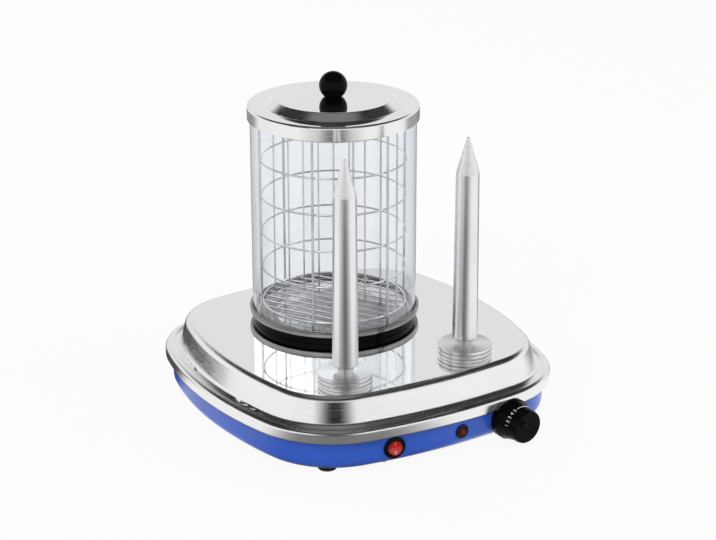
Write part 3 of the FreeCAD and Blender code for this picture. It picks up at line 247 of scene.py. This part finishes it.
def polished_steel(name):
    """Mirror-polished where it lies flat and brushed on its slopes and rims."""
    made = bpy.data.materials.new(name)
    tree = Tree(made)
    lines = tree.noise(LINE_SCALE, LINE_STRETCH, LINE_DETAIL)
    cloud = tree.noise(SHEEN_SCALE, (1, 1, 1), CLOUD_DETAIL)
    facing = tree.add("ShaderNodeNewGeometry").outputs["Normal"]
    slope = tree.add("ShaderNodeSeparateXYZ", {0: facing}).outputs[2]
    flat = tree.smooth(slope, *FLAT_EDGES, 0, 1)
    brushed = tree.smooth(lines, *SHEEN_EDGES, *BRUSHED_ROUGH)
    polished = tree.smooth(cloud, *SHEEN_EDGES, *POLISHED_ROUGH)
    gloss = tree.add("ShaderNodeMix", {0: flat, 2: brushed, 3: polished}, data_type="FLOAT").outputs[0]
    colour = tree.mix(cloud, STEEL_DARK, STEEL_LIGHT)
    strength = tree.smooth(flat, 0, 1, BRUSHED_BUMP, POLISHED_BUMP)
    relief = {"Height": lines, "Strength": strength, "Distance": LINE_DEPTH}
    normal = tree.add("ShaderNodeBump", relief).outputs[0]
    links = {"Base Color": colour, "Roughness": gloss, "Normal": normal, "Metallic": 1.0}
    shader = tree.add("ShaderNodeBsdfPrincipled", links)
    tree.brush(shader, LINE_PULL)
    tree.add("ShaderNodeOutputMaterial", {"Surface": shader.outputs[0]})
    return made


def steel(name, dark=(0.70, 0.695, 0.685), light=(0.78, 0.775, 0.765), rough=(0.05, 0.10), **more):
    return surface(name, dark, light, rough, 60.0, bump=0.03, depth=0.05, **METAL, **more)


GLASS_DENSITY = 120.0
GLASS_TINT = (0.80, 0.83, 0.88, 1)


def glass():
    """Clear glass that darkens with the length of glass a ray crosses, so mostly at the tube's sides."""
    fixed = {"Transmission_Weight": 1.0, "IOR": 1.47}
    made = surface("clear_glass", (0.985, 0.99, 0.995), (0.99, 0.995, 1.0), (0.0, 0.006), 6.0, bump=0.01,
                   depth=0.05, **fixed)
    nodes = made.node_tree.nodes
    body = nodes.new("ShaderNodeVolumeAbsorption")
    body.inputs["Color"].default_value = GLASS_TINT
    body.inputs["Density"].default_value = GLASS_DENSITY
    made.node_tree.links.new(body.outputs[0], nodes["Material Output"].inputs["Volume"])
    return made


BASKET_RINGS = 6


def dress_nodes():
    axes = {"left": centre("left_spike"), "right": centre("right_spike")}
    rubber = surface("black_rubber", (0.012, 0.012, 0.012), (0.03, 0.03, 0.03), (0.55, 0.75), 900.0,
                     bump=0.3)
    screw = surface("screw_steel", (0.5, 0.5, 0.49), (0.66, 0.66, 0.65), (0.22, 0.4), 500.0, **METAL)
    zinc = surface("zinc_plate", (0.42, 0.43, 0.44), (0.60, 0.61, 0.62), (0.28, 0.5), 45.0, bump=0.15,
                   **METAL)
    bakelite = surface("black_bakelite", (0.002, 0.002, 0.0025), (0.004, 0.004, 0.005), (0.12, 0.2), 350.0,
                       bump=0.04, **PHENOLIC)
    nylon = surface("black_plastic", (0.004, 0.004, 0.0045), (0.009, 0.009, 0.0095), (0.3, 0.45), 1100.0,
                    bump=0.15, IOR=1.4, Specular_IOR_Level=0.2)
    blue = surface("blue_enamel", (0.031, 0.108, 0.55), (0.035, 0.118, 0.60), (0.22, 0.28), 150.0, bump=0.02,
                   depth=0.05, Coat_Weight=0.2, Coat_Roughness=0.08, IOR=1.35)
    # The rocker's red and the lens's red darken towards their rims: painted shade
    red = surface("red_rocker", (0.46, 0.006, 0.008), (0.64, 0.012, 0.014), (0.08, 0.16), 300.0, bump=0.04,
                  rim_shade=("switch_rocker", (0.08, 0.001, 0.002)), Coat_Weight=0.5, Coat_Roughness=0.05, IOR=1.4)
    lens = surface("red_lens", (0.10, 0.004, 0.004), (0.17, 0.007, 0.006), (0.06, 0.14), 300.0, bump=0.04,
                   rim_shade=("lamp_lens", (0.05, 0.001, 0.001)), Coat_Weight=0.1, Coat_Roughness=0.05, IOR=1.3,
                   Specular_IOR_Level=0.2)
    cast = surface("cast_aluminium", (0.36, 0.36, 0.36), (0.52, 0.52, 0.52), (0.45, 0.65), 420.0,
                   bump=0.4, **METAL)
    sheath = surface("element_steel", (0.13, 0.11, 0.10), (0.27, 0.24, 0.21), (0.4, 0.6), 130.0, **METAL)
    cutout = surface("cutout_body", (0.035, 0.022, 0.016), (0.06, 0.04, 0.03), (0.3, 0.5), 500.0)
    brass = surface("brass_terminal", (0.52, 0.36, 0.11), (0.66, 0.48, 0.17), (0.2, 0.35), 300.0, **METAL)
    white = surface("white_block", (0.70, 0.68, 0.62), (0.80, 0.78, 0.73), (0.45, 0.6), 400.0, bump=0.1)
    wire = surface("basket_wire", (0.52, 0.52, 0.52), (0.70, 0.70, 0.70), (0.12, 0.2), 350.0,
                   bump=0.05, **METAL)
    # The steam dish's steel is much darker than the deck's and lid's: painted shade for the shade and dark
    # reflections it has under the glass and lid
    shaded_dish_steel = steel("steel_dish_painted_shade", (0.26, 0.258, 0.255), (0.36, 0.357, 0.352), (0.12, 0.2))
    turned = {}
    for side, axis in axes.items():
        lines = rings_about(axis.x, axis.y, TURNED_SPACING)
        turned[side] = surface("turned_aluminium_" + side, (0.80, 0.80, 0.805), (0.86, 0.86, 0.865),
                               (0.26, 0.34), 40.0, bump=0.05, depth=0.03, height=lines, brushed=0.7, **METAL)
        turned[side + "_rod"] = surface("spike_aluminium_" + side, (0.84, 0.84, 0.85), (0.88, 0.88, 0.89),
                                        (0.27, 0.32), 40.0, (1, 1, 30), 0.005, 0.03, brushed=0.9, **METAL)
    rings = ["basket_ring_%d" % i for i in range(1, BASKET_RINGS + 1)]
    looks = {
        polished_steel("steel_polished_deck"): ["deck_cover"],
        polished_steel("steel_polished_lid"): ["lid"],
        shaded_dish_steel: ["steam_dish"],
        blue: ["base_shell"],
        zinc: ["bottom_plate", "tie_posts", "heat_shield", "heat_shield_standoffs", "heater_clamp"],
        rubber: ["foot_front_left", "foot_front_right", "foot_back_right", "foot_back_left"],
        screw: ["foot_screws", "tie_post_screws", "bottom_plate_screws", "dish_stud", "heater_nut",
                "lid_knob_screw", "spike_washers", "spike_nuts", "thermostat_nut", "thermostat_shaft",
                "earth_terminal"],
        bakelite: ["seat_ring", "lid_knob", "thermostat_knob", "thermostat_dial_plate"],
        nylon: ["switch_housing", "lamp_housing", "lamp_clip", "cord_gland", "cord_gland_nut"],
        red: ["switch_rocker"],
        lens: ["lamp_lens"],
        cast: ["heating_plate"],
        sheath: ["ring_element", "left_spike_heater", "right_spike_heater"],
        cutout: ["thermal_cutout", "thermostat_body"],
        brass: ["thermal_cutout_terminals", "switch_terminals", "thermostat_terminals", "terminal_screws"],
        white: ["terminal_block"],
        wire: ["basket_uprights", "basket_divider", "basket_floor"] + rings,
        glass(): ["glass_cylinder"],
        turned["left"]: ["left_spike_base"],
        turned["right"]: ["right_spike_base"],
        turned["left_rod"]: ["left_spike"],
        turned["right_rod"]: ["right_spike"],
    }
    for look, names in looks.items():
        for name in names:
            slots = NODES[name].data.materials
            slots.clear()
            slots.append(look)
    plain = sorted(set(NODES) - {name for names in looks.values() for name in names})
    if plain:
        raise ValueError("nodes without a material: %s" % plain)


# Printed marks, wrapped on the surface that carries them
PRINT_LIFT = 0.06 * MM
PRINT_REACH = 40 * MM
DIGITS = "12345"
DIGIT_SIZE = 5.0 * MM
DIGIT_STEP = math.radians(14)
DIGIT_START = math.radians(8)
DIGIT_ALONG = 19.4 * MM
WEDGE_START = math.radians(128)
WEDGE_END = math.radians(72)
WEDGE_THIN = 0.35 * MM
WEDGE_THICK = 2.0 * MM
WEDGE_STEPS = 40
SWITCH_MARK = 3.6 * MM
SWITCH_MARK_RISE = 4.6 * MM
SKIRT_RADIUS = 18.5 * MM
OUTLINE_PARTS = 8


def hits(node):
    mesh = NODES[node].data
    return BVHTree.FromPolygons([v.co for v in mesh.vertices], [p.vertices for p in mesh.polygons])


def text_outline(words, size):
    """The flat faces of a few characters, centred, as points and triangles."""
    curve = bpy.data.curves.new("outline", "FONT")
    curve.body = words
    curve.size = size
    curve.align_x = "CENTER"
    curve.align_y = "CENTER"
    holder = bpy.data.objects.new("outline", curve)
    bpy.context.scene.collection.objects.link(holder)
    graph = bpy.context.evaluated_depsgraph_get()
    mesh = bpy.data.meshes.new_from_object(holder.evaluated_get(graph))
    work = bmesh.new()
    work.from_mesh(mesh)
    bmesh.ops.triangulate(work, faces=work.faces)
    long_edges = [e for e in work.edges if e.calc_length() > size / OUTLINE_PARTS]
    bmesh.ops.subdivide_edges(work, edges=long_edges, cuts=1)
    bmesh.ops.triangulate(work, faces=work.faces)
    work.verts.ensure_lookup_table()
    points = [v.co.copy() for v in work.verts]
    faces = [[v.index for v in f.verts] for f in work.faces]
    work.free()
    bpy.data.objects.remove(holder)
    bpy.data.curves.remove(curve)
    bpy.data.meshes.remove(mesh)
    return points, faces


def mesh_piece(name, points, faces, look, body):
    mesh = bpy.data.meshes.new(name)
    mesh.from_pydata([tuple(p) for p in points], [], faces)
    mesh.materials.append(look)
    piece = bpy.data.objects.new(name, mesh)
    bpy.context.scene.collection.objects.link(piece)
    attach(piece, body)
    return piece


def hinge_frame(name):
    """A joint's pivot and its axis, of length 1."""
    joint = JOINTS[name]
    pivot = Vector(joint["pos_m"])
    return pivot, Vector(joint["axis"]).normalized()


def knob_marks(ink):
    pivot, axis = hinge_frame("thermostat_turn")
    outward = axis if axis.y < 0 else -axis
    side = outward.cross(Vector((0, 0, 1))).normalized()
    up = side.cross(outward).normalized()
    skin = hits("thermostat_knob")

    def on_skirt(angle, along):
        out = side * math.cos(angle) + up * math.sin(angle)
        start = pivot + outward * along + out * PRINT_REACH
        place, normal, _, _ = skin.ray_cast(start, -out)
        return place + normal * PRINT_LIFT

    points, faces = [], []
    for i, digit in enumerate(DIGITS):
        flat, triangles = text_outline(digit, DIGIT_SIZE)
        first = len(points)
        for p in flat:
            angle = DIGIT_START + i * DIGIT_STEP + p.x / SKIRT_RADIUS
            points.append(on_skirt(angle, DIGIT_ALONG - p.y))
        faces += [[first + k for k in t] for t in triangles]
    mesh_piece("knob_digits", points, faces, ink, "knob")
    points, faces = [], []
    for i in range(WEDGE_STEPS + 1):
        share = i / WEDGE_STEPS
        angle = WEDGE_START + (WEDGE_END - WEDGE_START) * share
        half = (WEDGE_THICK + (WEDGE_THIN - WEDGE_THICK) * share) / 2
        for step in (-half, 0, half):
            points.append(on_skirt(angle, DIGIT_ALONG + step))
    for i in range(WEDGE_STEPS):
        for k in (0, 1):
            a = 3 * i + k
            faces.append([a, a + 1, a + 4, a + 3])
    mesh_piece("knob_wedge", points, faces, ink, "knob")


def switch_marks(ink):
    pivot, axis = hinge_frame("rocker_tilt")
    level = Vector((axis.x, axis.y, 0)).normalized()
    outward = level.cross(Vector((0, 0, 1))).normalized()
    outward = outward if outward.y < 0 else -outward
    skin = hits("switch_rocker")
    middle = centre("switch_rocker")
    points, faces = [], []
    for word, rise in (("I", SWITCH_MARK_RISE), ("O", -SWITCH_MARK_RISE)):
        flat, triangles = text_outline(word, SWITCH_MARK)
        first = len(points)
        for p in flat:
            start = Vector((pivot.x, pivot.y, middle.z)) + outward * PRINT_REACH
            start += level * p.x * (1 if level.cross(outward).z < 0 else -1) + Vector((0, 0, rise + p.y))
            place, normal, _, _ = skin.ray_cast(start, -outward)
            points.append(place + normal * PRINT_LIFT)
        faces += [[first + k for k in t] for t in triangles]
    mesh_piece("switch_marks", points, faces, ink, "rocker")


# Spot welds where the basket's rings cross its uprights
WELD_LONG = 2.3 * MM
WELD_WIDE = 1.5 * MM
WELD_DEEP = 0.8 * MM
WELD_SEGMENTS = 12
WELD_BANDS = 8
WELD_UNEVEN = 0.12
WELD_WAVES = (7, 5)
WALL_RADIUS = 60 * MM
SAME_POST_DIGITS = 4


def basket_welds(look):
    """One flattened bead per crossing. An upright is one island of their mesh, out by the wall."""
    uprights = NODES["basket_uprights"].data
    middle = centre("basket_uprights")
    work = bmesh.new()
    work.from_mesh(uprights)
    posts = []
    left = set(work.verts)
    while left:
        seed = left.pop()
        island, front = [seed], [seed]
        while front:
            for edge in front.pop().link_edges:
                for vert in edge.verts:
                    if vert in left:
                        left.remove(vert)
                        island.append(vert)
                        front.append(vert)
        total = Vector((0, 0, 0))
        for vert in island:
            total += vert.co
        posts.append(total / len(island))
    work.free()
    outer = [post for post in posts if (post - middle).xy.length > WALL_RADIUS]
    posts = {tuple(round(value, SAME_POST_DIGITS) for value in post.xy): post for post in outer}
    beads = bmesh.new()
    for ring in range(1, BASKET_RINGS + 1):
        low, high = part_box("basket_ring_%d" % ring)
        reach = (high.x - low.x) / 2
        for post in posts.values():
            way = (post - middle).xy.normalized()
            spot = Vector((middle.x + way.x * reach, middle.y + way.y * reach, (low.z + high.z) / 2))
            made = bmesh.ops.create_uvsphere(
                beads, u_segments=WELD_SEGMENTS, v_segments=WELD_BANDS, radius=1.0)
            turn = Matrix.Rotation(math.atan2(way.y, way.x), 4, "Z")
            shape = Matrix.Diagonal((WELD_DEEP, WELD_LONG / 2, WELD_WIDE / 2, 1))
            for vert in made["verts"]:
                wave = math.sin(WELD_WAVES[0] * vert.co.y + ring) * math.cos(WELD_WAVES[1] * vert.co.z)
                bulge = 1 + WELD_UNEVEN * wave
                vert.co = spot + (turn @ shape @ (vert.co * bulge))
    mesh = bpy.data.meshes.new("basket_welds")
    beads.to_mesh(mesh)
    beads.free()
    mesh.materials.append(look)
    for polygon in mesh.polygons:
        polygon.use_smooth = True
    piece = bpy.data.objects.new("basket_welds", mesh)
    bpy.context.scene.collection.objects.link(piece)
    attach(piece, "basket")


def make_camera():
    lid = centre("lid")
    target = Vector((CAMERA_TARGET_X, lid.y + TARGET_BEHIND_LID, CAMERA_TARGET_Z))
    data = bpy.data.cameras.new("camera")
    data.sensor_width = SENSOR
    data.lens = FOCAL_PIXELS * SENSOR / IMAGE_WIDTH
    data.shift_x = (IMAGE_WIDTH / 2 - CENTRE_X) / IMAGE_WIDTH
    data.shift_y = (CENTRE_Y - IMAGE_HEIGHT / 2) / IMAGE_WIDTH
    camera = bpy.data.objects.new("camera", data)
    a, e = CAMERA_AZIMUTH, CAMERA_ELEVATION
    back = Vector((math.sin(a) * math.cos(e), -math.cos(a) * math.cos(e), math.sin(e)))
    right = Vector((math.cos(a), math.sin(a), 0))
    turn = Matrix((right, back.cross(right), back)).transposed().to_4x4()
    camera.matrix_world = Matrix.Translation(target + back * CAMERA_DISTANCE) @ turn
    bpy.context.scene.collection.objects.link(camera)
    bpy.context.scene.camera = camera


def level_way(azimuth):
    return (math.sin(azimuth), -math.cos(azimuth), 0)


def make_world():
    world = bpy.data.worlds.new("studio")
    tree = Tree(world)
    way = tree.add("ShaderNodeTexCoord").outputs["Generated"]
    height = tree.add("ShaderNodeSeparateXYZ", {0: way}).outputs[2]
    flat = tree.vector("NORMALIZE", tree.vector("MULTIPLY", way, (1, 1, 0)).outputs[0]).outputs[0]
    panels = tree.smooth(height, *PANEL_TOP_EDGES, 1.0, DARK_LEVEL)
    overhead = tree.smooth(height, *OVERHEAD_EDGES, 0.0, OVERHEAD_LEVEL)
    panels = tree.maths("ADD", panels, overhead)
    front = tree.vector("DOT_PRODUCT", flat, level_way(CAMERA_AZIMUTH)).outputs["Value"]
    backdrop = tree.smooth(front, *BACKDROP_EDGES, BACKDROP_LEVEL, 1.0)
    shade = tree.maths("MULTIPLY", panels, backdrop)
    plain, seen = tree.studio_rays()
    seen_level = tree.add("ShaderNodeMix", {0: plain, 2: shade, 3: 1.0}, data_type="FLOAT").outputs[0]
    levels = {0: seen, 2: WORLD_FILL, 3: seen_level}
    strength = tree.add("ShaderNodeMix", levels, data_type="FLOAT").outputs[0]
    back = tree.add("ShaderNodeBackground", {"Color": grey(1.0), "Strength": strength})
    tree.add("ShaderNodeOutputWorld", {"Surface": back.outputs[0]})
    bpy.context.scene.world = world


def flag_shade(tree, flag):
    """The share of the floor's glow that a dark cloth on the floor leaves: 1 away from the cloth."""
    place = tree.place()
    flat = tree.vector("NORMALIZE", place).outputs[0]
    turned = tree.vector("DOT_PRODUCT", flat, level_way(flag["azimuth"])).outputs["Value"]
    away = tree.vector("LENGTH", place).outputs["Value"]
    inside = tree.smooth(turned, *flag["edges"], 0.0, 1.0)
    near = tree.smooth(away, *flag["reach"], 1.0, 0.0)
    cover = tree.maths("MULTIPLY", inside, near)
    taken = tree.maths("MULTIPLY", cover, 1.0 - flag["level"])
    return tree.maths("SUBTRACT", 1.0, taken)


def make_floor():
    work = bmesh.new()
    bmesh.ops.create_circle(work, cap_ends=True, radius=FLOOR_RADIUS, segments=FLOOR_SEGMENTS)
    mesh = bpy.data.meshes.new("floor")
    work.to_mesh(mesh)
    work.free()
    look = bpy.data.materials.new("floor")
    tree = Tree(look)
    diffuse = tree.add("ShaderNodeBsdfDiffuse", {"Color": grey(FLOOR_COLOUR)}).outputs[0]
    plain, seen = tree.studio_rays()
    flags = 1.0
    for flag in (FRONT_FLAG, SIDE_FLAG, BACK_FLAG, RIGHT_FLAG):
        flags = tree.maths("MULTIPLY", flag_shade(tree, flag), flags)
    level = tree.add("ShaderNodeMix", {0: plain, 2: flags, 3: 1.0}, data_type="FLOAT").outputs[0]
    glow = tree.add("ShaderNodeEmission", {"Color": grey(1.0), "Strength": level}).outputs[0]
    share = tree.maths("MULTIPLY", seen, FLOOR_GLOW)
    both = tree.add("ShaderNodeMixShader", {0: share, 1: diffuse, 2: glow})
    tree.add("ShaderNodeOutputMaterial", {"Surface": both.outputs[0]})
    mesh.materials.append(look)
    floor = bpy.data.objects.new("floor", mesh)
    bpy.context.scene.collection.objects.link(floor)


def make_card():
    """A low black card before the part, seen only in mirror reflections, its sides and top soft."""
    side = Vector((math.cos(CARD_AZIMUTH), math.sin(CARD_AZIMUTH), 0)) * CARD_HALF_WIDTH
    foot = Vector(level_way(CARD_AZIMUTH)) * CARD_AWAY + Vector((0, 0, CARD_LIFT))
    top = Vector((0, 0, CARD_HEIGHT))
    mesh = bpy.data.meshes.new("card")
    corners = [foot - side, foot + side, foot + side + top, foot - side + top]
    mesh.from_pydata([tuple(c) for c in corners], [], [(0, 1, 2, 3)])
    look = bpy.data.materials.new("card")
    tree = Tree(look)
    offset = tree.vector("SUBTRACT", tree.place(), tuple(foot)).outputs[0]
    across = tree.vector("DOT_PRODUCT", offset, tuple(side.normalized())).outputs["Value"]
    edge = tree.smooth(tree.maths("ABSOLUTE", across), CARD_CORE, CARD_HALF_WIDTH, 1.0, 0.0)
    height = tree.add("ShaderNodeSeparateXYZ", {0: tree.place()}).outputs[2]
    edge = tree.maths("MULTIPLY", edge, tree.smooth(height, *CARD_TOP_EDGES, 1.0, 0.0))
    path = tree.add("ShaderNodeLightPath")
    through = path.outputs["Is Transmission Ray"]
    mirrored = tree.maths("MULTIPLY", path.outputs["Is Glossy Ray"], tree.maths("SUBTRACT", 1.0, through))
    clear = tree.add("ShaderNodeBsdfTransparent").outputs[0]
    black = tree.add("ShaderNodeEmission", {"Color": grey(0.0), "Strength": 0.0}).outputs[0]
    both = tree.add("ShaderNodeMixShader", {0: tree.maths("MULTIPLY", edge, mirrored), 1: clear, 2: black})
    tree.add("ShaderNodeOutputMaterial", {"Surface": both.outputs[0]})
    mesh.materials.append(look)
    card = bpy.data.objects.new("card", mesh)
    bpy.context.scene.collection.objects.link(card)


# Lamps: name, place, size in metres, power in watts
LAMPS = [
    ("key", (-1.5, -1.0, 1.5), 1.3, 17),
    ("fill", (1.6, -1.1, 1.1), 1.2, 10),
    ("rim", (0.3, 1.8, 1.5), 1.4, 9),
]


def make_lamps():
    aim = Vector(LAMP_AIM)
    for name, place, size, power in LAMPS:
        data = bpy.data.lights.new(name, "AREA")
        data.energy = power
        data.size = size
        lamp = bpy.data.objects.new(name, data)
        lamp.location = place
        lamp.visible_glossy = False
        lamp.rotation_euler = (Vector(place) - aim).to_track_quat("Z", "Y").to_euler()
        bpy.context.scene.collection.objects.link(lamp)


make_camera()
make_world()
make_floor()
make_card()
make_lamps()
dress_nodes()
INK = surface("white_ink", (0.70, 0.69, 0.66), (0.82, 0.81, 0.78), (0.4, 0.55), 900.0, bump=0.1)
knob_marks(INK)
switch_marks(INK)
basket_welds(NODES["basket_ring_1"].data.materials[0])
bpy.context.scene.view_settings.view_transform = "Standard"
